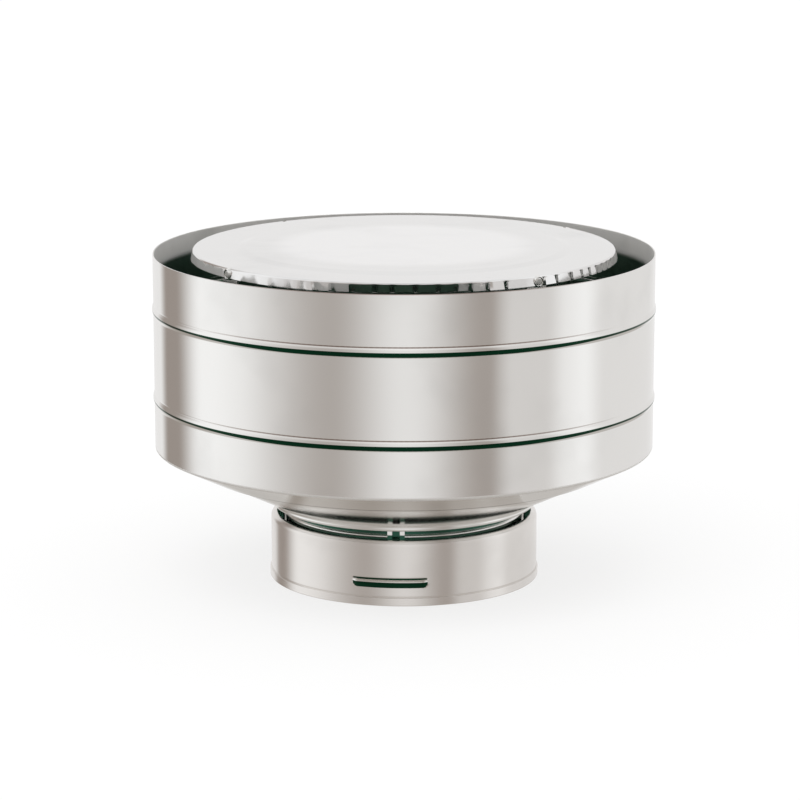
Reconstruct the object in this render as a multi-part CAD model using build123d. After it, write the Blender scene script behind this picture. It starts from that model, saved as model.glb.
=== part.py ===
from build123d import *

import os
from math import cos, degrees, radians, sqrt, tan

# Vertical termination cap for a round double-wall gas vent, in millimetres.
# +Z is up, the axis of the vent is Z, and the collar's foot stands on Z = 0. The front faces -Y.

# Sheet and fits
sheet = 0.6
strap_sheet = 0.8
seat_gap = 0.1

# Vent pipe: the inner wall's outside, and the depth from there to the outer wall's outside
sleeve_diameter = 101.6
wall_depth = 6.35

# Outer collar, the end of the vent's outer wall
collar_height = 27.9
collar_roll_radius = 2.4
collar_roll_reach = 2.45
hem_height = 3.4
hem_edge_radius = 0.25

# Locking lugs pressed out of the collar
lug_count = 3
lug_length = 31.7
lug_height = 4.2
lug_rise = 1.2
lug_nose_radius = 1.0
lug_level = 10.3
lug_angle = 264.0

# Flue sleeve, the inner wall
sleeve_foot_level = 8.0
sleeve_length = 54.0
stop_bead_level = 28.0
stop_bead_height = 2.4
stop_bead_peak = 0.8
stop_bead_radius = 0.9

# Base pan, the conical floor with its turned neck
neck_gap = 3.7
neck_setback = 0.35
neck_lip_height = 2.2
neck_roll_radius = 1.1
neck_bend_radius = 1.0
cone_angle = 26.0
pan_lap = 13.5

# Wind band, the drum
band_diameter = 212.8
band_height = 82.8
band_flange_width = 18.1
band_bend_radius = 2.4
bead_heights_above_bend = (22.0, 59.8)
bead_height = 4.1
bead_peak = 0.85
bead_nose_radius = 3.0
bead_root_radius = 2.0

# Rain disc, with its skirt crimped into short flats
outlet_width = 16.8
disc_rise = 1.9
disc_flange_height = 4.0
disc_corner_radius = 0.9
crimp_count = 92
skirt_join = 0.4
raised_centre_margin = 18.6
raised_centre_height = 0.8
raised_centre_slope_width = 4.0
raised_centre_bend_radius = 2.0

# Legs that carry the disc, and the rivets that hold it to them
leg_count = 4
leg_angle = 37.0
leg_width = 10.0
leg_foot_length = 14.0
leg_bend_radius = 2.0
rivet_shank_diameter = 2.0
rivet_hole_clearance = 0.1
rivet_head_diameter = 3.0
rivet_head_height = 0.8
rivet_head_edge_radius = 0.5
rivet_tail_diameter = 2.8
rivet_tail_height = 0.6

# Spacers, hat-section clips between sleeve, collar and neck
spacer_count = 4
spacer_angle = 266.5
spacer_ear_width = 2.0
spacer_channel_width = 3.2
spacer_foot_level = 14.0
spacer_above_neck = 4.0

# Sizes that follow from the ones above
sleeve_radius = sleeve_diameter / 2
collar_radius = sleeve_radius + wall_depth
neck_radius = collar_radius - neck_setback
band_radius = band_diameter / 2
disc_radius = band_radius - outlet_width
roll_tip_radius = collar_radius - collar_roll_reach
neck_level = collar_height + neck_gap
cone_foot_level = neck_level + neck_lip_height
cone_slope = tan(radians(cone_angle))
cone_stretch = 1 / cos(radians(cone_angle))


def cone_level(radius, depth_below=0.0):
    """Height of the pan's lower face at a radius, or of a face parallel to it and below it."""
    return cone_foot_level + (radius - neck_radius) * cone_slope - depth_below * cone_stretch


flange_depth = sheet + seat_gap
band_foot_level = cone_level(band_radius, flange_depth)
rim_level = band_foot_level + band_height
flange_edge_radius = band_radius - band_flange_width
pan_edge_radius = flange_edge_radius + pan_lap
disc_level = rim_level + disc_rise
leg_radius = disc_radius - sheet - seat_gap
rivet_level = disc_level - (disc_corner_radius + disc_flange_height) / 2


def sheet_section(outline, bends, thickness=sheet):
    """Cross-section of a formed sheet: one face follows the outline, the other lies to its left."""
    path = FilletPolyline(*outline, radius=bends)
    return make_face(offset(path, amount=thickness, side=Side.LEFT).edges())


def turned(section):
    """Full turn of a cross-section about the vent's axis."""
    return revolve(Plane.XZ * section, Axis.Z)


def bead_points(radius, level, height, peak):
    """Outline points of an outward bead on an upright wall, from its lower to its upper root."""
    return [(radius, level - height / 2), (radius + peak, level), (radius, level + height / 2)]


def around(piece, count, first_angle):
    """Copies of a piece that is made on +X, spread evenly about the vent's axis."""
    step = 360 / count
    return [Rot(0, 0, first_angle + index * step) * piece for index in range(count)]


def make_wind_band():
    """Drum with an inward conical flange at its foot and two beads pressed outwards."""
    outline = [(flange_edge_radius, cone_level(flange_edge_radius, flange_depth))]
    outline += [(band_radius, band_foot_level)]
    bends = [band_bend_radius]
    for height_above_bend in bead_heights_above_bend:
        outline += bead_points(band_radius, band_foot_level + height_above_bend, bead_height, bead_peak)
        bends += [bead_root_radius, bead_nose_radius, bead_root_radius]
    outline += [(band_radius, rim_level)]
    return turned(sheet_section(outline, bends))


def make_base_pan():
    """Conical floor whose neck turns down in a short lip and then in towards the sleeve."""
    outline = [
        (roll_tip_radius, neck_level),
        (neck_radius, neck_level),
        (neck_radius, cone_foot_level),
        (pan_edge_radius, cone_level(pan_edge_radius)),
    ]
    return turned(sheet_section(outline, [neck_roll_radius, neck_bend_radius]))


def lug_form(base_radius):
    """Rounded ridge along an arc of the collar, domed at both ends, its back at the collar's sheet."""
    half = lug_height / 2
    ridge = Polyline(
        (base_radius - sheet, -half),
        (base_radius, -half),
        (base_radius + lug_rise, 0),
        (base_radius, half),
        (base_radius - sheet, half),
        close=True,
    )
    section = make_face(ridge.edges())
    nose = section.vertices().sort_by(Axis.X)[-1]
    section = fillet(nose, lug_nose_radius)
    upper_half = section & Pos(base_radius, half) * Rectangle(4 * lug_height, lug_height)
    dome = revolve(Plane.XZ * upper_half, Axis.X)
    turn = degrees((lug_length - lug_height) / collar_radius)
    body = revolve(Plane.XZ * section, Axis.Z, turn) + dome + Rot(0, 0, turn) * dome
    return Pos(0, 0, lug_level) * Rot(0, 0, -turn / 2) * body


def make_outer_collar():
    """Pipe collar with a folded hem, pressed lugs and its top edge rolled in."""
    outline = [(collar_radius, 0), (collar_radius, collar_height), (roll_tip_radius, collar_height)]
    wall = sheet_section(outline, [collar_roll_radius])
    hem_section = Pos(collar_radius, hem_height / 2) * Rectangle(2 * sheet, hem_height)
    section = wall + hem_section
    foot_corners = section.vertices().group_by(Axis.Y)[0]
    hem_top_corner = section.vertices().sort_by(Axis.X).group_by(Axis.X)[-1].sort_by(Axis.Y)[-1]
    section = fillet([*foot_corners, hem_top_corner], hem_edge_radius)
    collar = turned(section)
    collar += around(lug_form(collar_radius), lug_count, lug_angle)
    return collar - around(lug_form(collar_radius - sheet), lug_count, lug_angle)


def make_flue_sleeve():
    """Inner pipe with one small stop bead."""
    top_level = sleeve_foot_level + sleeve_length
    outline = [(sleeve_radius, sleeve_foot_level)]
    outline += bead_points(sleeve_radius, stop_bead_level, stop_bead_height, stop_bead_peak)
    outline += [(sleeve_radius, top_level)]
    return turned(sheet_section(outline, [stop_bead_radius] * 3))


def rivet_hole():
    """Cutter for one rivet hole, along +X through flange and leg."""
    radius = rivet_shank_diameter / 2 + rivet_hole_clearance
    depth = 4 * (sheet + strap_sheet)
    return Pos(leg_radius, 0, rivet_level) * Rot(0, 90, 0) * Cylinder(radius, depth)


def crimped_skirt():
    """Ring of short flats, the turned-down rim of the disc below its rounded corner."""
    height = disc_flange_height - disc_corner_radius
    ring = RegularPolygon(disc_radius, crimp_count) - RegularPolygon(disc_radius - sheet, crimp_count)
    return extrude(Pos(0, 0, disc_level - disc_flange_height) * ring, height)


def make_rain_disc():
    """Disc with a raised centre and a crimped skirt, drilled for the rivets."""
    raised_radius = disc_radius - raised_centre_margin
    centre_level = disc_level + raised_centre_height
    outline = [
        (disc_radius, disc_level - disc_corner_radius - skirt_join),
        (disc_radius, disc_level),
        (raised_radius, disc_level),
        (raised_radius - raised_centre_slope_width, centre_level),
        (0, centre_level),
    ]
    bends = [disc_corner_radius, raised_centre_bend_radius, raised_centre_bend_radius]
    disc = turned(sheet_section(outline, bends)) + crimped_skirt()
    return disc - around(rivet_hole(), leg_count, leg_angle)


def make_disc_leg():
    """Strap on +X: a foot on the pan and an upright that ends inside the disc's flange."""
    foot_radius = leg_radius - leg_foot_length
    foot_height = sheet + seat_gap
    outline = [
        (foot_radius, cone_level(foot_radius, -foot_height)),
        (leg_radius, cone_level(leg_radius, -foot_height)),
        (leg_radius, disc_level - sheet - seat_gap),
    ]
    section = sheet_section(outline, [leg_bend_radius], strap_sheet)
    turn = degrees(leg_width / leg_radius)
    strap = Rot(0, 0, -turn / 2) * revolve(Plane.XZ * section, Axis.Z, turn)
    return strap - rivet_hole()


def make_flange_rivet():
    """Round-head rivet on +X through the disc's flange and a leg."""
    tail_face = leg_radius - strap_sheet - seat_gap
    head_face = disc_radius + seat_gap / 2
    head = Cylinder(rivet_head_diameter / 2, rivet_head_height, align=(Align.CENTER, Align.CENTER, Align.MIN))
    head = fillet(head.edges().group_by(Axis.Z)[-1], rivet_head_edge_radius)
    shank_length = head_face - tail_face
    below = (Align.CENTER, Align.CENTER, Align.MAX)
    shank = Cylinder(rivet_shank_diameter / 2, shank_length, align=below)
    tail = Pos(0, 0, -shank_length) * Cylinder(rivet_tail_diameter / 2, rivet_tail_height, align=below)
    return Pos(head_face, 0, rivet_level) * Rot(0, 90, 0) * (head + shank + tail)


def make_spacer():
    """Hat-section clip on +X: its channel sits on the sleeve's bead, its ears on collar and neck."""
    half_channel = spacer_channel_width / 2
    half_width = half_channel + spacer_ear_width
    ear_face = sqrt((roll_tip_radius - seat_gap) ** 2 - half_width**2)
    web_face = stop_bead_outer_radius() + seat_gap
    outline = [
        (ear_face, -half_width),
        (ear_face, -half_channel),
        (web_face + sheet, -half_channel),
        (web_face + sheet, half_channel),
        (ear_face, half_channel),
        (ear_face, half_width),
    ]
    top_level = neck_level + spacer_above_neck
    hat = make_face(offset(Polyline(*outline), amount=sheet, side=Side.LEFT).edges())
    return extrude(Pos(0, 0, spacer_foot_level) * hat, top_level - spacer_foot_level)


def stop_bead_outer_radius():
    """Radius of the sleeve over its stop bead."""
    half = stop_bead_height / 2
    side = sqrt(half**2 + stop_bead_peak**2)
    return sleeve_radius + stop_bead_peak - stop_bead_radius * (side / half - 1)


def make_nodes():
    """Every piece of the cap under its own name."""
    nodes = {
        "wind_band": make_wind_band(),
        "base_pan": make_base_pan(),
        "outer_collar": make_outer_collar(),
        "flue_sleeve": make_flue_sleeve(),
        "rain_disc": make_rain_disc(),
    }
    for index, leg in enumerate(around(make_disc_leg(), leg_count, leg_angle)):
        nodes[f"disc_leg_{index + 1}"] = leg
    for index, spacer in enumerate(around(make_spacer(), spacer_count, spacer_angle)):
        nodes[f"spacer_{index + 1}"] = spacer
    nodes["flange_rivets"] = Compound(around(make_flange_rivet(), leg_count, leg_angle))
    return nodes


os.makedirs("parts", exist_ok=True)
for name, piece in make_nodes().items():
    export_step(piece, f"parts/{name}.step")
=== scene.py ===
import math
import random

import bpy
from mathutils import Matrix, Vector


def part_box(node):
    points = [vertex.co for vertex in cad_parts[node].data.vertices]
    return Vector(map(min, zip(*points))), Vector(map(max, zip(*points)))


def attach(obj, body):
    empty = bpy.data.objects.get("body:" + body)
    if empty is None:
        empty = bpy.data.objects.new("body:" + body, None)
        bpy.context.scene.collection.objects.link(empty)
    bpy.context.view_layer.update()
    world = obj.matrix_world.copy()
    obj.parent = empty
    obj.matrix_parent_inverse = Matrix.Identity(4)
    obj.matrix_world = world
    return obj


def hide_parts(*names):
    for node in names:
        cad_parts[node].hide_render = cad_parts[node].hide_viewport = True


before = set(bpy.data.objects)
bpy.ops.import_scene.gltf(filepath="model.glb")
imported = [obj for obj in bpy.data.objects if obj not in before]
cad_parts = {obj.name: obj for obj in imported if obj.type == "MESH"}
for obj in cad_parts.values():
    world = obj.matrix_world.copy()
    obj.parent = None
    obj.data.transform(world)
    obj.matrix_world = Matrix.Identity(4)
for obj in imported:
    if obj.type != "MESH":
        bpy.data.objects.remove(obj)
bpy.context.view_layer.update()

# Lengths are in millimetres until a section is drawn, and angles in degrees. The front faces -Y.
MM = 0.001
SHEET = 0.6
FULL_TURN = 2 * math.pi
ABOUT_VENT = {"center": (0, 0, 0), "axis": (0, 0, 1)}


def reach(node):
    """Outer radius of a round node."""
    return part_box(node)[1].x / MM


def top(node):
    """Level of a node's highest point."""
    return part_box(node)[1].z / MM


def foot(node):
    """Level of a node's lowest point."""
    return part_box(node)[0].z / MM


# Drum, from its rim down: straight belts between two pressed beads, and a flange turned in at the foot
BEAD_PEAK = 0.85
BEAD_HEIGHT = 4.1
BEAD_DROPS = (23.0, 60.8)
BEAD_NOSE_BEND = 3.0
BEAD_ROOT_BEND = 2.0
DRAW_IN_DEPTH = 0.07
DRAW_IN_HEIGHT = 0.55
DRAW_IN_BEND = 0.8
DRUM_HEIGHT = 82.8
DRUM_RADIUS = 106.4
DRUM_RIM = top("wind_band")
DRUM_FOOT = DRUM_RIM - DRUM_HEIGHT
FOOT_BEND = 0.7
FLANGE_WIDTH = 18.1
FLANGE_EDGE = DRUM_RADIUS - FLANGE_WIDTH
CONE_ANGLE = 26.0
CONE_SLOPE = math.tan(math.radians(CONE_ANGLE))

# Pan, the cone inside the flange, with its neck turned down and in
NECK_RADIUS = 56.8
NECK_LIP = 2.2
NECK_ROLL_BEND = 1.1
NECK_BEND = 1.0
ROLL_TIP_RADIUS = 54.7
PAN_LAP = 13.5
NECK_FOOT = foot("base_pan")
CONE_FOOT = NECK_FOOT + NECK_LIP

# Collar with its hem, locking lugs and rolled top
COLLAR_RADIUS = 57.15
COLLAR_TOP = top("outer_collar")
COLLAR_ROLL_BEND = 2.4
HEM_HEIGHT = 3.4
HEM_BEND = 0.25
HEM_DRAW_IN = 0.12
HEM_DRAW_IN_HEIGHT = 0.6
LUG_COUNT = 3
LUG_ANGLE = 264.0
LUG_LEVEL = 10.3
LUG_LENGTH = 31.7
LUG_UPPER = 0.9
LUG_LOWER = 2.7
LUG_END = 2.0
LUG_RISE = 1.05
LUG_NOSE = 0.12
LUG_DRAW_IN = 0.14
LUG_DRAW_IN_HEIGHT = 0.3
LUG_ROW = 0.2
ROWS_BELOW_LUG = 2
ROWS_ABOVE_LUG = 6

# Sleeve, the inner pipe with a small stop bead
SLEEVE_RADIUS = 50.8
SLEEVE_FOOT = foot("flue_sleeve")
SLEEVE_TOP = top("flue_sleeve")
STOP_LEVEL = 28.0
STOP_HEIGHT = 2.4
STOP_PEAK = 0.8
STOP_BEND = 0.9

# Rain disc with a raised centre
DISC_RADIUS = reach("rain_disc")
DISC_TOP = top("rain_disc")
DISC_CORNER = 0.9
CENTRE_RISE = 0.8
CENTRE_MARGIN = 18.6
CENTRE_SLOPE = 4.0
CENTRE_BEND = 2.0
CENTRE_RADIUS = DISC_RADIUS - CENTRE_MARGIN
DISC_LEVEL = DISC_TOP - CENTRE_RISE

# Skirt of the disc: flared, tucked in at the front, crimped into facets, with pleats on one side
SKIRT_HEIGHT = 4.0
SKIRT_FLARE = 0.8
SKIRT_TUCK = 0.85
TUCK_ANGLE = 270.0
TUCK_HALF_WIDTH = 18.0
TUCK_FLATNESS = 4
CRIMP_SEED = 7
CRIMP_COLUMNS = (6, 9)
CRIMP_STEP = 0.14
CRIMP_SWING = 0.08
CRIMP_LEAN = 0.2
CRIMP_STEEPNESS = 3
PLEAT_DEPTH = 1.65
PLEAT_COLUMNS = 2
PLEAT_PINCH = 0.7
PLEAT_CLEARANCE = 3.6
PLEAT_ANGLE = 312.0
PLEAT_FADE = 4.5

# Spot marks pressed into the disc's outer ring: their edge and reach are counted in spot sizes
SPOT_COUNT = 4
SPOT_ANGLE = 24.0
SPOT_RADIUS = 83.5
SPOT_SIZE = 1.7
SPOT_DEPTH = 0.2
SPOT_EDGE = 2.0
SPOT_STEEPNESS = 1.5
SPOT_REACH = 3.0
SPOT_CUTS = 3
SPOT_ROW = 1.2
SPOT_ROWS = (2, 1, 0, -1, -2)

# Rivets that hold the skirt to the straps behind it
RIVET_COUNT = 4
RIVET_ANGLE = 37.0
RIVET_DROP = 2.45
RIVET_LEVEL = DISC_LEVEL - RIVET_DROP
RIVET_SIDES = 40
RIVET_HEAD = 4.0
RIVET_HEIGHT = 2.0
RIVET_FACE = 1.2
RIVET_EDGE = 0.75
RIVET_EDGE_CUTS = 5
RIVET_DIMPLE = 1.3
RIVET_DIMPLE_WALL = RIVET_DIMPLE / 8
RIVET_DIMPLE_DEPTH = 0.3
FACING_UP = 0.5

# How finely the sections are drawn and turned
ARC_STEP = 5.0
CUT_EDGE_ANGLES = (45, 90, 135)
SUPPORT = 0.35
LONG_RUN = 4 * SUPPORT
DRUM_STEPS = 288
COLLAR_STEPS = 540
DISC_STEPS = 552
SECTORS = 12
MERGE_DISTANCE = 0.002
CREASE_ANGLE = 22.0

# Look that all the sheet shares
STREAK_STRETCH = (12, 12, 1600)
STREAK_DETAIL = 3.0
STREAK_ROUGHNESS = 0.05
STREAK_HEIGHT = 0.004
SMUDGE_SCALE = 26.0
SMUDGE_DETAIL = 3.0
SMUDGE_EDGE = (0.48, 0.75)
SMUDGE_DULLING = 0.14
SMUDGE_ROUGHNESS = 0.16
WAVE_SCALE = 16.0
WAVE_DETAIL = 1.0

# Steels, painted shade and painted highlights, and where they change: pairs are where a change starts and
# where it is complete
STEEL = (0.88, 0.875, 0.86)
COLLAR_STEEL = (0.82, 0.795, 0.77)
# Painted shade: the sleeve is painted dark green, standing for the shade and the dark ground mirrored in the
# gap between neck and collar
SLEEVE_PAINTED_SHADE = (0.03, 0.095, 0.065)
DISC_STEEL = (0.875, 0.875, 0.875)
# Painted highlight: brighter steel painted over the disc's raised centre
CENTRE_PAINTED_HIGHLIGHT = (0.985, 0.985, 0.99)
CENTRE_HIGHLIGHT_EDGE = (60.0, 46.0)
# Painted highlight: a band of bright steel on the sleeve's stop bead
BEAD_GLINT_LEVEL = 28.4
BEAD_GLINT_HALF = (0.85, 0.5)
CHANNEL_SHADE = (54.0, 53.4)
CLIP_SHADE = (29.9, 29.4)
# Painted shade: the drum's inside is painted dark green further below its rim
INSIDE_PAINTED_SHADE = (0.15, 0.25, 0.195)
INSIDE_ROUGHNESS = (0.3, 0.8)
SATIN_BAND = 6.0
DARK_BELOW_RIM = (8.0, 10.0)
# Painted shade: dark green under the beads and lugs and brown in the beads' drawn lines, for the dark ground
# the steel mirrors there
UNDERSIDE_PAINTED_SHADE = (0.006, 0.045, 0.022)
BULGE_EDGE = (0.015, 0.06)
UNDERSIDE_SHADE_EDGE = (0.0, 0.14)
UNDERSIDE_SHADE_WIDTH = (0.9, 2.1)
UNDERSIDE_SHADE_FADE = 0.15
FRONT_EDGE = (0.55, 1.0)
GROOVE_EDGE = (0.012, 0.035)
GROOVE_PAINTED_SHADE = (0.34, 0.27, 0.24)
FOLD_WEAR = 1.0
FOLD_ROUGHNESS = 0.5
# Painted shade: a dark line in the lap where the flange's edge meets the pan
LAP_SHADE_WIDTH = 0.9
LAP_PAINTED_SHADE = (0.07, 0.075, 0.06)

# Studio seen in the metal: pale all round, soft brown cards standing upright, a duller ground and ceiling.
# A card has the azimuths where its left edge starts and ends, those of its right edge, and its depth.
PALE = (1.0, 1.0, 1.0)
CARD_COLOUR = (0.29, 0.245, 0.215)
CARDS = (
    (-100, -60, 66, 95, 0.22),
    (-80, -33, -33, 0, 0.69),
    (2, 37, 39, 50, 0.79),
    (40, 48, 66, 78, 0.25),
    (88, 104, 205, 235, 0.2),
    (88, 104, 148, 168, 0.09),
    (-150, -138, -127, -104, 0.92),
)
CARD_FADE = (55.0, 24.0)
HALF_CIRCLE = 180.0
GROUND_COLOUR = (0.42, 0.39, 0.355)
GROUND_SHARE = 0.7
GROUND_EDGE = (-17.0, -22.0)
CEILING_COLOUR = (0.72, 0.72, 0.715)
CEILING_EDGE = (36.0, 76.0)
MIRROR_BOUNCES = 10

# Floor and lamp: the floor's radius is in metres
FLOOR_SIDES = 96
FLOOR_RADIUS = 9.0
FLOOR_WHITE = (0.94, 0.94, 0.94, 1)
FLOOR_ROUGHNESS = 0.9
FLOOR_WHITE_SHARE = 0.72
LAMP_STRENGTH = 0.6
LAMP_SPREAD = 50.0
LAMP_TILT = (32.0, -18.0)

# Camera: its shift is given in the picture's own points
PICTURE = 800
AIM_LEVEL = 70.0
CAMERA_DISTANCE = 1389.5
CAMERA_ELEVATION = 12.2
LENS = 145.9
SENSOR = 36.0
SHIFT_RIGHT = -4.0
SHIFT_UP = 12.6


def left_of(direction):
    """Unit vector to the left of a direction on the section plane."""
    return Vector((-direction.y, direction.x))


def formed_path(corners, bends):
    """Points of a formed sheet's face, each with its left normal: straight runs joined by arcs."""
    corners = [Vector(corner) for corner in corners]
    path = [(corners[0], left_of((corners[1] - corners[0]).normalized()))]
    for before, corner, after, bend in zip(corners, corners[1:], corners[2:], bends):
        arriving = (corner - before).normalized()
        leaving = (after - corner).normalized()
        turn = arriving.angle_signed(leaving)
        side = left_of(arriving) * (-1 if turn > 0 else 1)
        first = corner - arriving * bend * math.tan(abs(turn) / 2)
        centre = first + side * bend
        count = max(2, math.ceil(math.degrees(abs(turn)) / ARC_STEP))
        for index in range(count + 1):
            turned = Matrix.Rotation(-turn * index / count, 2)
            tangent = arriving.copy()
            tangent.rotate(turned)
            spoke = -side
            spoke.rotate(turned)
            path.append((centre + spoke * bend, left_of(tangent)))
    path.append((corners[-1], left_of((corners[-1] - corners[-2]).normalized())))
    return with_supports(path)


def with_supports(path):
    """The same path with a point just inside both ends of each long straight run."""
    fuller = []
    for (here, normal), (there, _) in zip(path, path[1:]):
        fuller.append((here, normal))
        run = there - here
        if run.length > LONG_RUN:
            direction = run.normalized()
            fuller.append((here + direction * SUPPORT, left_of(direction)))
            fuller.append((there - direction * SUPPORT, left_of(direction)))
    fuller.append(path[-1])
    return fuller


def edge_round(point, normal, outward):
    """Points of a sheet's rounded cut edge, from one face to the other."""
    half = SHEET / 2
    middle = point + normal * half
    points = []
    for angle in CUT_EDGE_ANGLES:
        swing = math.radians(angle)
        points.append(middle - normal * math.cos(swing) * half + outward * math.sin(swing) * half)
    return points


def sheet_outline(corners, bends, to_axis=False):
    """Closed outline of a formed sheet: one face, the cut edge, the other face and back."""
    path = formed_path(corners, bends)
    outline = [point for point, _ in path]
    if not to_axis:
        last_direction = (path[-1][0] - path[-2][0]).normalized()
        outline += edge_round(*path[-1], last_direction)
    outline += [point + normal * SHEET for point, normal in reversed(path)]
    first_direction = (path[0][0] - path[1][0]).normalized()
    outline += reversed(edge_round(*path[0], first_direction))
    outline.append(path[0][0])
    return outline


def new_piece(name):
    """The primitive that was just added, under its piece's name."""
    piece = bpy.context.active_object
    piece.name = name
    piece.data.name = name
    return piece


def repeat_round(count):
    """Repeats the mesh that is open in edit mode evenly round the vent's axis."""
    bpy.ops.mesh.select_all(action="SELECT")
    bpy.ops.mesh.spin(steps=count - 1, angle=FULL_TURN - FULL_TURN / count, dupli=True, **ABOUT_VENT)
    bpy.ops.mesh.select_all(action="SELECT")


def select_faces(piece, wanted):
    """Opens a piece in edit mode with only those faces selected that a test wants."""
    bpy.ops.object.mode_set(mode="EDIT")
    bpy.ops.mesh.select_all(action="DESELECT")
    bpy.ops.object.mode_set(mode="OBJECT")
    for face in piece.data.polygons:
        face.select = wanted(face)
    bpy.ops.object.mode_set(mode="EDIT")


def turned_piece(name, outline, steps):
    """Piece turned about the vent's axis from a section that is drawn point by point."""
    bpy.ops.object.select_all(action="DESELECT")
    bpy.ops.mesh.primitive_plane_add(size=MM)
    piece = new_piece(name)
    spots = [Vector((radius, 0, level)) * MM for radius, level in outline]
    bpy.ops.object.mode_set(mode="EDIT")
    bpy.ops.mesh.select_all(action="SELECT")
    bpy.ops.mesh.merge(type="CENTER")
    bpy.ops.transform.translate(value=spots[0])
    for here, there in zip(spots, spots[1:]):
        bpy.ops.mesh.extrude_region_move(TRANSFORM_OT_translate={"value": there - here})
    bpy.ops.mesh.select_all(action="SELECT")
    bpy.ops.mesh.spin(steps=steps // SECTORS, angle=FULL_TURN / SECTORS, **ABOUT_VENT)
    repeat_round(SECTORS)
    bpy.ops.mesh.remove_doubles(threshold=MERGE_DISTANCE * MM)
    bpy.ops.mesh.normals_make_consistent(inside=False)
    bpy.ops.object.mode_set(mode="OBJECT")
    return piece


def finish_piece(piece, node, material):
    """Smooth shading, finish and place in the frame for a piece that stands for a node."""
    bpy.ops.object.select_all(action="DESELECT")
    piece.select_set(True)
    bpy.context.view_layer.objects.active = piece
    bpy.ops.object.shade_smooth_by_angle(angle=math.radians(CREASE_ANGLE))
    piece.data.materials.append(material)
    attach(piece, "root")
    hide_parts(node)


def polar(vertex):
    """Angle, radius and level of a vertex."""
    spot = vertex.co / MM
    return math.atan2(spot.y, spot.x), math.hypot(spot.x, spot.y), spot.z


def push_out(vertex, distance):
    """Moves a vertex away from the vent's axis."""
    away = Vector((vertex.co.x, vertex.co.y, 0)).normalized()
    vertex.co += away * distance * MM


def angle_between(angle, other):
    """Smallest turn from one angle to another, in radians."""
    return (angle - other + math.pi) % FULL_TURN - math.pi


def round_pattern(first, count):
    """Angles of things spaced evenly round the vent, in radians."""
    return [math.radians(first + 360 / count * index) for index in range(count)]


def bead_corners(radius, level):
    """Section corners of a drum bead, from its lower root up, with the wall drawn in just above it."""
    half = BEAD_HEIGHT / 2
    return [
        (radius, level - half),
        (radius + BEAD_PEAK, level),
        (radius - DRAW_IN_DEPTH, level + half - DRAW_IN_HEIGHT / 2),
        (radius, level + half + DRAW_IN_HEIGHT / 2),
    ]


def make_drum():
    """Beaded drum with its conical flange."""
    corners = [(FLANGE_EDGE, DRUM_FOOT - FLANGE_WIDTH * CONE_SLOPE), (DRUM_RADIUS, DRUM_FOOT)]
    bends = [FOOT_BEND]
    for drop in reversed(BEAD_DROPS):
        corners += bead_corners(DRUM_RADIUS, DRUM_RIM - drop)
        bends += [BEAD_ROOT_BEND, BEAD_NOSE_BEND, DRAW_IN_BEND, DRAW_IN_BEND]
    corners.append((DRUM_RADIUS, DRUM_RIM))
    return turned_piece("drum", sheet_outline(corners, bends), DRUM_STEPS)


def make_pan():
    """Conical floor with its turned neck."""
    edge = FLANGE_EDGE + PAN_LAP
    corners = [
        (ROLL_TIP_RADIUS, NECK_FOOT),
        (NECK_RADIUS, NECK_FOOT),
        (NECK_RADIUS, CONE_FOOT),
        (edge, CONE_FOOT + (edge - NECK_RADIUS) * CONE_SLOPE),
    ]
    return turned_piece("pan", sheet_outline(corners, [NECK_ROLL_BEND, NECK_BEND]), DRUM_STEPS)


def collar_outline():
    """Closed collar section: hem, wall with close rows where the lugs are pressed, rolled top."""
    lowest_row = LUG_LEVEL - LUG_LOWER - ROWS_BELOW_LUG * LUG_ROW
    row_count = round((LUG_LOWER + LUG_UPPER) / LUG_ROW) + ROWS_BELOW_LUG + ROWS_ABOVE_LUG
    rows = [lowest_row + LUG_ROW * index for index in range(row_count)]
    hem_face = COLLAR_RADIUS + SHEET
    hem = formed_path(
        [
            (COLLAR_RADIUS, 0),
            (hem_face, 0),
            (hem_face, HEM_HEIGHT),
            (COLLAR_RADIUS - HEM_DRAW_IN, HEM_HEIGHT),
            (COLLAR_RADIUS, HEM_HEIGHT + HEM_DRAW_IN_HEIGHT),
            (COLLAR_RADIUS, HEM_HEIGHT + 2 * HEM_DRAW_IN_HEIGHT),
        ],
        [HEM_BEND, HEM_BEND, HEM_BEND / 2, HEM_BEND],
    )
    above_rows = lowest_row + LUG_ROW * row_count
    wall = formed_path(
        [(COLLAR_RADIUS, above_rows), (COLLAR_RADIUS, COLLAR_TOP), (ROLL_TIP_RADIUS, COLLAR_TOP)],
        [COLLAR_ROLL_BEND],
    )
    inner = COLLAR_RADIUS - SHEET
    outline = [point for point, _ in hem]
    outline += [Vector((COLLAR_RADIUS, level)) for level in rows]
    outline += [point for point, _ in wall]
    outline += edge_round(*wall[-1], Vector((-1, 0)))
    outline += [point + normal * SHEET for point, normal in reversed(wall)]
    outline += [Vector((inner, level)) for level in reversed(rows)]
    outline += [Vector((inner, HEM_BEND)), Vector((inner + HEM_BEND, 0)), Vector((COLLAR_RADIUS, 0))]
    return outline


def lug_push(along, above):
    """Outward push of the sheet at a place on a lug, along the collar and above the lug's middle."""
    half = LUG_UPPER if above > 0 else LUG_LOWER
    past_spine = max(abs(along) - LUG_LENGTH / 2 + LUG_END, 0)
    off_spine = math.hypot(past_spine / LUG_END, above / half)
    push = 0
    if off_spine < 1:
        shape = math.sqrt(1 + LUG_NOSE) - math.sqrt(off_spine**2 + LUG_NOSE)
        push = LUG_RISE * shape / (math.sqrt(1 + LUG_NOSE) - math.sqrt(LUG_NOSE))
    if abs(along) < LUG_LENGTH / 2 and above > 0:
        off_line = (above - LUG_UPPER - LUG_DRAW_IN_HEIGHT) / LUG_DRAW_IN_HEIGHT
        push -= LUG_DRAW_IN * math.exp(-off_line**2)
    return push


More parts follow.
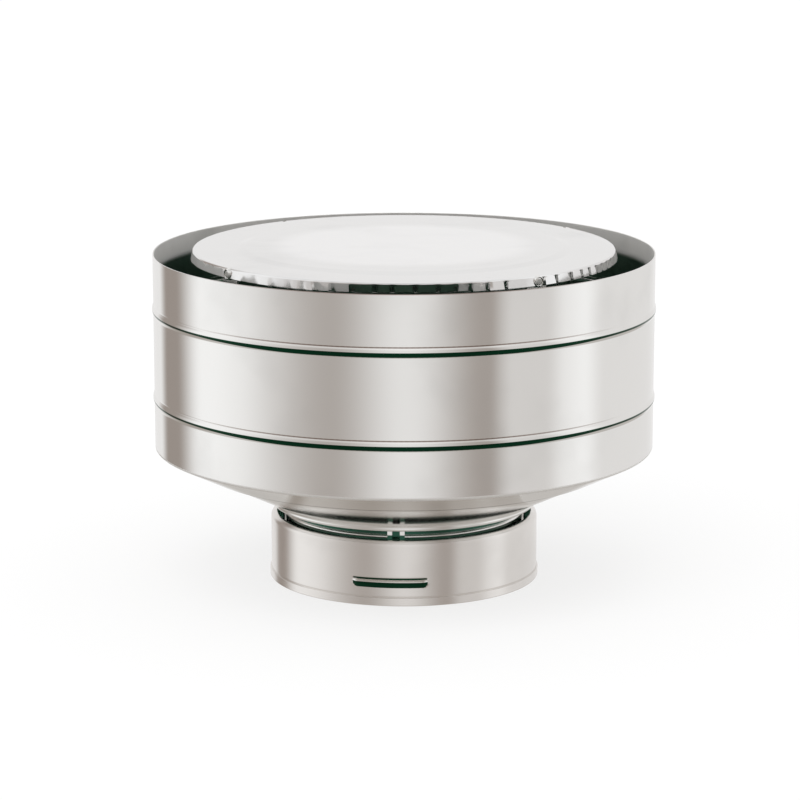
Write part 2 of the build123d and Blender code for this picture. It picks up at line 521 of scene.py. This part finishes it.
def make_collar():
    """Pipe collar with pressed lugs."""
    piece = turned_piece("collar", collar_outline(), COLLAR_STEPS)
    lug_angles = round_pattern(LUG_ANGLE, LUG_COUNT)
    for vertex in piece.data.vertices:
        angle, _, level = polar(vertex)
        above = level - LUG_LEVEL
        if abs(above) > LUG_LOWER + LUG_UPPER:
            continue
        for lug_angle in lug_angles:
            along = angle_between(angle, lug_angle) * COLLAR_RADIUS
            if abs(along) < LUG_LENGTH:
                push_out(vertex, lug_push(along, above))
    return piece


def make_sleeve():
    """Inner pipe with its stop bead."""
    half = STOP_HEIGHT / 2
    corners = [
        (SLEEVE_RADIUS, SLEEVE_FOOT),
        (SLEEVE_RADIUS, STOP_LEVEL - half),
        (SLEEVE_RADIUS + STOP_PEAK, STOP_LEVEL),
        (SLEEVE_RADIUS, STOP_LEVEL + half),
        (SLEEVE_RADIUS, SLEEVE_TOP),
    ]
    return turned_piece("sleeve", sheet_outline(corners, [STOP_BEND] * 3), DRUM_STEPS)


def crimp_plan():
    """How far each column of the skirt is pushed in, leant, and pinched towards a pleat."""
    chance = random.Random(CRIMP_SEED)
    rivet_angles = round_pattern(RIVET_ANGLE, RIVET_COUNT)
    plan = []
    while len(plan) < DISC_STEPS:
        columns = min(chance.randint(*CRIMP_COLUMNS), DISC_STEPS - len(plan))
        middle = FULL_TURN * (len(plan) + columns / 2) / DISC_STEPS
        off_front = math.degrees(angle_between(middle, math.radians(TUCK_ANGLE))) / TUCK_HALF_WIDTH
        tuck = (SKIRT_FLARE + SKIRT_TUCK) * math.exp(-off_front**TUCK_FLATNESS)
        off_pleats = angle_between(middle, math.radians(PLEAT_ANGLE))
        pleat = PLEAT_DEPTH * ((1 + math.cos(off_pleats)) / 2) ** PLEAT_FADE
        off_rivet = math.degrees(min(abs(angle_between(middle, rivet)) for rivet in rivet_angles))
        if off_rivet < PLEAT_CLEARANCE:
            pleat = 0
        set_in = chance.uniform(0, CRIMP_STEP)
        swing = chance.uniform(-CRIMP_SWING, CRIMP_SWING)
        lean = tuck - SKIRT_FLARE + chance.uniform(-CRIMP_LEAN, CRIMP_LEAN)
        for column in range(columns):
            across = 2 * column / max(columns - 1, 1) - 1
            fold = pleat if column < PLEAT_COLUMNS else 0
            towards = (column == columns - 1) - (column == PLEAT_COLUMNS)
            pinch = towards * PLEAT_PINCH * pleat / PLEAT_DEPTH * FULL_TURN / DISC_STEPS
            plan.append((set_in + swing * across, lean + fold, pinch))
    return plan


def make_disc():
    """Rain disc with a raised centre, crimped skirt and spot marks."""
    spot_rows = [(SPOT_RADIUS + SPOT_ROW * step, DISC_LEVEL) for step in SPOT_ROWS]
    corners = [
        (DISC_RADIUS, DISC_LEVEL - SKIRT_HEIGHT),
        (DISC_RADIUS, DISC_LEVEL),
        *spot_rows,
        (CENTRE_RADIUS, DISC_LEVEL),
        (CENTRE_RADIUS - CENTRE_SLOPE, DISC_TOP),
        (0, DISC_TOP),
    ]
    bends = [DISC_CORNER] * (1 + len(spot_rows)) + [CENTRE_BEND, CENTRE_BEND]
    piece = turned_piece("rain_cover", sheet_outline(corners, bends, to_axis=True), DISC_STEPS)
    plan = crimp_plan()
    skirt_top = DISC_LEVEL - DISC_CORNER / 2
    for vertex in piece.data.vertices:
        angle, radius, level = polar(vertex)
        if radius < DISC_RADIUS - 2 * SHEET or level > skirt_top:
            continue
        column = round(angle / FULL_TURN * DISC_STEPS) % DISC_STEPS
        set_in, lean, pinch = plan[column]
        depth = (skirt_top - level) / (SKIRT_HEIGHT - DISC_CORNER / 2)
        share = min(1, CRIMP_STEEPNESS * depth)
        push_out(vertex, -set_in * share - lean * depth)
        vertex.co.rotate(Matrix.Rotation(pinch * share, 3, "Z"))
    press_spots(piece)
    return piece


def press_spots(piece):
    """Small round marks pressed into the top of the disc."""
    spots = [
        Vector((math.cos(angle), math.sin(angle))) * SPOT_RADIUS
        for angle in round_pattern(SPOT_ANGLE, SPOT_COUNT)
    ]
    ring_low = (DISC_LEVEL - 2 * SHEET) * MM

    def off_spot(place):
        """Distance from the nearest spot, in spot sizes."""
        return min((place.xy / MM - spot).length for spot in spots) / SPOT_SIZE

    select_faces(piece, lambda face: face.center.z > ring_low and off_spot(face.center) < SPOT_REACH)
    bpy.ops.mesh.subdivide(number_cuts=SPOT_CUTS)
    bpy.ops.object.mode_set(mode="OBJECT")
    for vertex in piece.data.vertices:
        if vertex.co.z < ring_low:
            continue
        off = off_spot(vertex.co)
        if off < SPOT_EDGE:
            vertex.co.z -= SPOT_DEPTH * MM * math.exp(-((SPOT_STEEPNESS * off) ** 2))


def make_rivets():
    """Rivet heads with a raised rim and a sunken middle, set into the skirt."""
    bpy.ops.object.select_all(action="DESELECT")
    bpy.ops.mesh.primitive_cylinder_add(
        vertices=RIVET_SIDES, radius=RIVET_HEAD / 2 * MM, depth=RIVET_HEIGHT * MM, end_fill_type="NGON"
    )
    head = new_piece("rivet_heads")
    select_faces(head, lambda face: face.normal.z > FACING_UP)
    bpy.ops.mesh.bevel(offset=RIVET_EDGE * MM, segments=RIVET_EDGE_CUTS, affect="EDGES")
    # Both insets take the whole dome, which the bevel leaves selected, and so a fold lies behind the rim
    bpy.ops.mesh.inset(thickness=(RIVET_HEAD / 2 - RIVET_EDGE - RIVET_DIMPLE / 2) * MM)
    bpy.ops.mesh.inset(thickness=RIVET_DIMPLE_WALL * MM, depth=-RIVET_DIMPLE_DEPTH * MM)
    bpy.ops.object.mode_set(mode="OBJECT")
    middle = Vector((DISC_RADIUS + RIVET_FACE - RIVET_HEIGHT / 2, 0, RIVET_LEVEL)) * MM
    head.data.transform(Matrix.Translation(middle) @ Matrix.Rotation(math.radians(90), 4, "Y"))
    head.data.transform(Matrix.Rotation(math.radians(RIVET_ANGLE), 4, "Z"))
    bpy.ops.object.mode_set(mode="EDIT")
    repeat_round(RIVET_COUNT)
    bpy.ops.mesh.normals_make_consistent(inside=False)
    bpy.ops.object.mode_set(mode="OBJECT")
    return head


def new_node(tree, kind, **settings):
    """Shader node with its settings."""
    node = tree.nodes.new(kind)
    for name, value in settings.items():
        setattr(node, name, value)
    return node


def math_node(tree, operation, *values):
    """Math node fed by sockets or plain numbers."""
    node = new_node(tree, "ShaderNodeMath", operation=operation)
    for socket, value in zip(node.inputs, values):
        if isinstance(value, (int, float)):
            socket.default_value = value
        else:
            tree.links.new(value, socket)
    return node.outputs[0]


def product(tree, first, *others):
    """Product of sockets and plain numbers."""
    result = first
    for value in others:
        result = math_node(tree, "MULTIPLY", result, value)
    return result


def ramp_between(tree, value, low, high, at_low=0.0, at_high=1.0):
    """Smooth change of a mask while a value goes from one level to another."""
    node = new_node(tree, "ShaderNodeMapRange", interpolation_type="SMOOTHSTEP")
    tree.links.new(value, node.inputs["Value"])
    node.inputs["From Min"].default_value = low
    node.inputs["From Max"].default_value = high
    node.inputs["To Min"].default_value = at_low
    node.inputs["To Max"].default_value = at_high
    return node.outputs["Result"]


def mix_colour(tree, factor, first, second):
    """Colour between two colours or sockets, by the Mix node's colour sockets."""
    node = new_node(tree, "ShaderNodeMix", data_type="RGBA")
    tree.links.new(factor, node.inputs["Factor"])
    for socket, value in ((node.inputs[6], first), (node.inputs[7], second)):
        if isinstance(value, tuple):
            socket.default_value = (*value, 1.0)
        else:
            tree.links.new(value, socket)
    return node.outputs[2]


def noise(tree, vector, scale, detail):
    """Noise value over a vector."""
    node = new_node(tree, "ShaderNodeTexNoise")
    tree.links.new(vector, node.inputs["Vector"])
    node.inputs["Scale"].default_value = scale
    node.inputs["Detail"].default_value = detail
    return node.outputs["Fac"]


def rolled_sheet_group():
    """Shared look of polished sheet: rolling streaks, handling smudges and a faint waviness."""
    group = bpy.data.node_groups.new("rolled_sheet", "ShaderNodeTree")
    sockets = group.interface
    sockets.new_socket("Steel", in_out="INPUT", socket_type="NodeSocketColor")
    sockets.new_socket("Polish", in_out="INPUT", socket_type="NodeSocketFloat")
    sockets.new_socket("Smudge", in_out="INPUT", socket_type="NodeSocketFloat")
    sockets.new_socket("Colour", in_out="OUTPUT", socket_type="NodeSocketColor")
    sockets.new_socket("Roughness", in_out="OUTPUT", socket_type="NodeSocketFloat")
    sockets.new_socket("Height", in_out="OUTPUT", socket_type="NodeSocketFloat")
    given = group.nodes.new("NodeGroupInput").outputs
    result = group.nodes.new("NodeGroupOutput").inputs
    place = group.nodes.new("ShaderNodeTexCoord").outputs["Object"]
    stretch = new_node(group, "ShaderNodeMapping")
    stretch.inputs["Scale"].default_value = STREAK_STRETCH
    group.links.new(place, stretch.inputs["Vector"])
    streak = noise(group, stretch.outputs["Vector"], 1.0, STREAK_DETAIL)
    smudge = ramp_between(group, noise(group, place, SMUDGE_SCALE, SMUDGE_DETAIL), *SMUDGE_EDGE)
    wave = noise(group, place, WAVE_SCALE, WAVE_DETAIL)
    marked = product(group, smudge, given["Smudge"])
    dulled = product(group, marked, SMUDGE_DULLING)
    group.links.new(mix_colour(group, dulled, given["Steel"], (0, 0, 0)), result["Colour"])
    rough = math_node(group, "ADD", given["Polish"], product(group, streak, STREAK_ROUGHNESS))
    rough = math_node(group, "ADD", rough, product(group, marked, SMUDGE_ROUGHNESS))
    group.links.new(rough, result["Roughness"])
    height = math_node(group, "ADD", wave, product(group, streak, STREAK_HEIGHT))
    group.links.new(height, result["Height"])
    return group


def polished_steel(name, group, steel, polish, smudge, waviness):
    """Polished sheet finish of one piece."""
    material = bpy.data.materials.new(name)
    material.use_nodes = True
    tree = material.node_tree
    shader = tree.nodes["Principled BSDF"]
    shader.inputs["Metallic"].default_value = 1.0
    sheet = new_node(tree, "ShaderNodeGroup", node_tree=group, name=group.name)
    sheet.inputs["Steel"].default_value = (*steel, 1)
    sheet.inputs["Polish"].default_value = polish
    sheet.inputs["Smudge"].default_value = smudge
    tree.links.new(sheet.outputs["Colour"], shader.inputs["Base Color"])
    tree.links.new(sheet.outputs["Roughness"], shader.inputs["Roughness"])
    bump = new_node(tree, "ShaderNodeBump")
    bump.inputs["Strength"].default_value = 1.0
    bump.inputs["Distance"].default_value = waviness * MM
    tree.links.new(sheet.outputs["Height"], bump.inputs["Height"])
    tree.links.new(bump.outputs["Normal"], shader.inputs["Normal"])
    return material


def place_sockets(tree):
    """Place on the part along X, Y and Z, made once in each finish."""
    place = tree.nodes.get("place")
    if place is None:
        place = new_node(tree, "ShaderNodeSeparateXYZ", name="place")
        tree.links.new(new_node(tree, "ShaderNodeTexCoord").outputs["Object"], place.inputs[0])
    return place.outputs


def radius_socket(tree):
    """Distance from the vent's axis, in millimetres."""
    squares = [math_node(tree, "POWER", place_sockets(tree)[axis], 2.0) for axis in ("X", "Y")]
    return math_node(tree, "DIVIDE", math_node(tree, "SQRT", math_node(tree, "ADD", *squares)), MM)


def level_socket(tree):
    """Level over the collar's foot, in millimetres."""
    return math_node(tree, "DIVIDE", place_sockets(tree)["Z"], MM)


def front_share(tree, radius):
    """How much of the painted shade is at a place: all at the front, where it is heaviest, and none at the
    sides.
    """
    ahead = math_node(tree, "DIVIDE", place_sockets(tree)["Y"], -MM)
    return ramp_between(tree, math_node(tree, "DIVIDE", ahead, radius), *FRONT_EDGE)


def change_steel(material, mask, steel):
    """Lets the steel of a finish change to another over the piece, as a mask says."""
    tree = material.node_tree
    socket = tree.nodes["rolled_sheet"].inputs["Steel"]
    so_far = socket.links[0].from_socket if socket.links else tuple(socket.default_value)[:3]
    tree.links.new(mix_colour(tree, mask, so_far, steel), socket)


def roughen(material, extra):
    """Adds roughness to a finish where a mask asks for it."""
    tree = material.node_tree
    socket = tree.nodes["Principled BSDF"].inputs["Roughness"]
    tree.links.new(math_node(tree, "ADD", socket.links[0].from_socket, extra), socket)


def satin_inside_with_painted_shade(material):
    """Drum left satin inside, with painted shade: bright near its rim and painted dark further down."""
    tree = material.node_tree
    level = level_socket(tree)
    inside = math_node(tree, "LESS_THAN", radius_socket(tree), DRUM_RADIUS - SHEET / 2)
    above_foot = math_node(tree, "GREATER_THAN", level, DRUM_FOOT + SHEET)
    inner_face = product(tree, inside, above_foot)
    bright_level, dark_level = (DRUM_RIM - drop for drop in DARK_BELOW_RIM)
    satin = ramp_between(tree, level, dark_level, DRUM_RIM - SATIN_BAND, *INSIDE_ROUGHNESS)
    roughen(material, product(tree, inner_face, satin))
    dark = ramp_between(tree, level, bright_level, dark_level)
    change_steel(material, product(tree, inner_face, dark), INSIDE_PAINTED_SHADE)


def scuff_fold_and_shade_lap(material):
    """Drum's foot fold scuffed, with painted shade: a dark line painted in the lap at the flange's edge."""
    tree = material.node_tree
    radius = radius_socket(tree)
    outer = math_node(tree, "GREATER_THAN", radius, DRUM_RADIUS - FOLD_WEAR)
    low = ramp_between(tree, level_socket(tree), DRUM_FOOT + FOLD_WEAR, DRUM_FOOT + FOLD_WEAR / 2)
    roughen(material, product(tree, outer, low, FOLD_ROUGHNESS))
    lap = ramp_between(tree, radius, FLANGE_EDGE + LAP_SHADE_WIDTH, FLANGE_EDGE + LAP_SHADE_WIDTH / 2)
    change_steel(material, lap, LAP_PAINTED_SHADE)


def paint_shade_under_beads(material):
    """Painted shade: a dark line painted under each of the drum's beads, and a fainter one in the drawn line
    above it.
    """
    tree = material.node_tree
    radius = radius_socket(tree)
    level = level_socket(tree)
    front = front_share(tree, radius)
    narrow, wide = UNDERSIDE_SHADE_WIDTH
    width = math_node(tree, "ADD", product(tree, front, wide - narrow), narrow)
    bulge = ramp_between(tree, radius, *(DRUM_RADIUS + edge for edge in BULGE_EDGE))
    for drop in BEAD_DROPS:
        nose = DRUM_RIM - drop
        below = ramp_between(tree, level, *(nose - edge for edge in UNDERSIDE_SHADE_EDGE))
        depth = math_node(tree, "SUBTRACT", nose, level)
        near = math_node(tree, "LESS_THAN", depth, BEAD_HEIGHT)
        within = ramp_between(tree, math_node(tree, "SUBTRACT", depth, width), UNDERSIDE_SHADE_FADE, 0.0)
        change_steel(material, product(tree, bulge, below, near, within), UNDERSIDE_PAINTED_SHADE)
    drawn_in = ramp_between(tree, radius, *(DRUM_RADIUS - edge for edge in GROOVE_EDGE))
    outside = math_node(tree, "GREATER_THAN", radius, DRUM_RADIUS - SHEET / 2)
    above_foot = math_node(tree, "GREATER_THAN", level, DRUM_FOOT + BEAD_HEIGHT)
    change_steel(material, product(tree, drawn_in, outside, above_foot, front), GROOVE_PAINTED_SHADE)


def paint_shade_round_lugs(material):
    """Painted shade under each lug and in the drawn line above it."""
    tree = material.node_tree
    radius = radius_socket(tree)
    level = level_socket(tree)
    above_hem = math_node(tree, "GREATER_THAN", level, LUG_LEVEL - LUG_LOWER - LUG_UPPER)
    bulge = ramp_between(tree, radius, *(COLLAR_RADIUS + edge for edge in BULGE_EDGE))
    below = ramp_between(tree, level, *(LUG_LEVEL - edge for edge in UNDERSIDE_SHADE_EDGE))
    change_steel(material, product(tree, bulge, below, above_hem), UNDERSIDE_PAINTED_SHADE)
    drawn_in = ramp_between(tree, radius, *(COLLAR_RADIUS - edge for edge in BULGE_EDGE))
    outside = math_node(tree, "GREATER_THAN", radius, COLLAR_RADIUS - SHEET / 2)
    under_roll = math_node(tree, "LESS_THAN", level, LUG_LEVEL + LUG_LOWER + LUG_UPPER)
    change_steel(material, product(tree, drawn_in, outside, under_roll, above_hem), UNDERSIDE_PAINTED_SHADE)


def paint_centre_highlight(material):
    """Disc with a painted highlight: brighter steel painted within its raised centre."""
    tree = material.node_tree
    change_steel(material, ramp_between(tree, radius_socket(tree), *CENTRE_HIGHLIGHT_EDGE), CENTRE_PAINTED_HIGHLIGHT)


def paint_bead_highlight(material):
    """Dark sleeve with a painted highlight: its stop bead is painted bright steel."""
    tree = material.node_tree
    off_bead = math_node(tree, "SUBTRACT", level_socket(tree), BEAD_GLINT_LEVEL)
    change_steel(material, ramp_between(tree, math_node(tree, "ABSOLUTE", off_bead), *BEAD_GLINT_HALF), STEEL)


def shade_channel(material):
    """Spacer clip that is dark within its channel and low in the gap, as the sleeve behind it is."""
    tree = material.node_tree
    change_steel(material, ramp_between(tree, radius_socket(tree), *CHANNEL_SHADE), SLEEVE_PAINTED_SHADE)
    change_steel(material, ramp_between(tree, level_socket(tree), *CLIP_SHADE), SLEEVE_PAINTED_SHADE)


def studio_surround():
    """World: white for the camera and for plain light, the studio for reflections."""
    world = bpy.data.worlds.new("studio")
    bpy.context.scene.world = world
    world.use_nodes = True
    tree = world.node_tree
    tree.nodes.clear()
    way = new_node(tree, "ShaderNodeSeparateXYZ")
    tree.links.new(new_node(tree, "ShaderNodeTexCoord").outputs["Generated"], way.inputs[0])
    elevation = math_node(tree, "DEGREES", math_node(tree, "ARCSINE", way.outputs["Z"]))
    towards_front = math_node(tree, "MULTIPLY", way.outputs["Y"], -1.0)
    azimuth = math_node(tree, "DEGREES", math_node(tree, "ARCTAN2", way.outputs["X"], towards_front))
    colour = PALE
    low_enough = ramp_between(tree, elevation, *CARD_FADE)
    for left_start, left_end, right_start, right_end, depth in CARDS:
        middle = (left_end + right_start) / 2
        off_middle = math_node(tree, "SUBTRACT", azimuth, middle)
        across = math_node(tree, "WRAP", off_middle, HALF_CIRCLE, -HALF_CIRCLE)
        left = ramp_between(tree, across, left_start - middle, left_end - middle)
        right = ramp_between(tree, across, right_end - middle, right_start - middle)
        colour = mix_colour(tree, product(tree, left, right, depth, low_enough), colour, CARD_COLOUR)
    colour = mix_colour(tree, ramp_between(tree, elevation, *CEILING_EDGE), colour, CEILING_COLOUR)
    low_down = product(tree, ramp_between(tree, elevation, *GROUND_EDGE), GROUND_SHARE)
    colour = mix_colour(tree, low_down, colour, GROUND_COLOUR)
    seen_in_metal = new_node(tree, "ShaderNodeBackground")
    tree.links.new(colour, seen_in_metal.inputs["Color"])
    plain = new_node(tree, "ShaderNodeBackground")
    plain.inputs["Color"].default_value = (1, 1, 1, 1)
    plain.inputs["Strength"].default_value = 1.0
    light_path = new_node(tree, "ShaderNodeLightPath")
    either = new_node(tree, "ShaderNodeMixShader")
    tree.links.new(light_path.outputs["Is Glossy Ray"], either.inputs[0])
    tree.links.new(plain.outputs[0], either.inputs[1])
    tree.links.new(seen_in_metal.outputs[0], either.inputs[2])
    tree.links.new(either.outputs[0], new_node(tree, "ShaderNodeOutputWorld").inputs[0])


def studio_floor():
    """Pale floor that takes the shadow and isn't mirrored in the metal."""
    bpy.ops.object.select_all(action="DESELECT")
    bpy.ops.mesh.primitive_circle_add(vertices=FLOOR_SIDES, radius=FLOOR_RADIUS, fill_type="NGON")
    floor = bpy.context.active_object
    floor.name = "floor"
    material = bpy.data.materials.new("floor_white")
    material.use_nodes = True
    tree = material.node_tree
    shader = tree.nodes["Principled BSDF"]
    shader.inputs["Base Color"].default_value = FLOOR_WHITE
    shader.inputs["Roughness"].default_value = FLOOR_ROUGHNESS
    shader.inputs["Specular IOR Level"].default_value = 0.0
    white = new_node(tree, "ShaderNodeEmission")
    seen = new_node(tree, "ShaderNodeLightPath").outputs["Is Camera Ray"]
    both = new_node(tree, "ShaderNodeMixShader")
    tree.links.new(product(tree, seen, FLOOR_WHITE_SHARE), both.inputs[0])
    tree.links.new(shader.outputs[0], both.inputs[1])
    tree.links.new(white.outputs[0], both.inputs[2])
    tree.links.new(both.outputs[0], tree.nodes["Material Output"].inputs["Surface"])
    floor.data.materials.append(material)
    floor.visible_glossy = False


def studio_lamp():
    """One broad soft lamp from above, on the left and in front."""
    lamp = bpy.data.lights.new("soft_lamp", "SUN")
    lamp.energy = LAMP_STRENGTH
    lamp.angle = math.radians(LAMP_SPREAD)
    holder = bpy.data.objects.new("soft_lamp", lamp)
    bpy.context.scene.collection.objects.link(holder)
    holder.rotation_euler = (*(math.radians(tilt) for tilt in LAMP_TILT), 0)
    holder.visible_glossy = False


def photo_camera():
    """Camera at the photograph's viewing angle."""
    data = bpy.data.cameras.new("camera")
    data.lens = LENS
    data.sensor_width = SENSOR
    data.shift_x = SHIFT_RIGHT / PICTURE
    data.shift_y = SHIFT_UP / PICTURE
    camera = bpy.data.objects.new("camera", data)
    bpy.context.scene.collection.objects.link(camera)
    tilt = math.radians(CAMERA_ELEVATION)
    back = Vector((0, -math.cos(tilt), math.sin(tilt)))
    camera.location = (Vector((0, 0, AIM_LEVEL)) + back * CAMERA_DISTANCE) * MM
    camera.rotation_euler = (math.radians(90) - tilt, 0, 0)
    bpy.context.scene.camera = camera


# Finishes
sheet_look = rolled_sheet_group()
drum_steel = polished_steel("drum_steel", sheet_look, STEEL, polish=0.06, smudge=0.5, waviness=0.25)
pan_steel = polished_steel("pan_steel", sheet_look, STEEL, polish=0.07, smudge=0.5, waviness=0.15)
collar_steel = polished_steel(
    "collar_steel", sheet_look, COLLAR_STEEL, polish=0.16, smudge=0.35, waviness=0.2
)
sleeve_steel = polished_steel(
    "sleeve_steel", sheet_look, SLEEVE_PAINTED_SHADE, polish=0.15, smudge=0.4, waviness=0.1
)
disc_steel = polished_steel("disc_steel", sheet_look, DISC_STEEL, polish=0.08, smudge=0.4, waviness=0.1)
strap_steel = polished_steel("strap_steel", sheet_look, STEEL, polish=0.16, smudge=0.35, waviness=0.1)
spacer_steel = polished_steel("spacer_steel", sheet_look, STEEL, polish=0.16, smudge=0.35, waviness=0.1)
rivet_steel = polished_steel("rivet_steel", sheet_look, STEEL, polish=0.12, smudge=0.4, waviness=0.02)
satin_inside_with_painted_shade(drum_steel)
scuff_fold_and_shade_lap(drum_steel)
paint_shade_under_beads(drum_steel)
paint_shade_round_lugs(collar_steel)
paint_centre_highlight(disc_steel)
paint_bead_highlight(sleeve_steel)
shade_channel(spacer_steel)

# Pieces that stand for the solids, and finishes for the solids that stay
finish_piece(make_drum(), "wind_band", drum_steel)
finish_piece(make_pan(), "base_pan", pan_steel)
finish_piece(make_collar(), "outer_collar", collar_steel)
finish_piece(make_sleeve(), "flue_sleeve", sleeve_steel)
finish_piece(make_disc(), "rain_disc", disc_steel)
finish_piece(make_rivets(), "flange_rivets", rivet_steel)

CAD_FINISHES = {"disc_leg": strap_steel, "spacer": spacer_steel}
for name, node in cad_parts.items():
    for start, material in CAD_FINISHES.items():
        if name.startswith(start):
            node.data.materials.clear()
            node.data.materials.append(material)

studio_surround()
studio_floor()
studio_lamp()
photo_camera()
bpy.context.scene.view_settings.view_transform = "Standard"
bpy.context.scene.cycles.glossy_bounces = MIRROR_BOUNCES
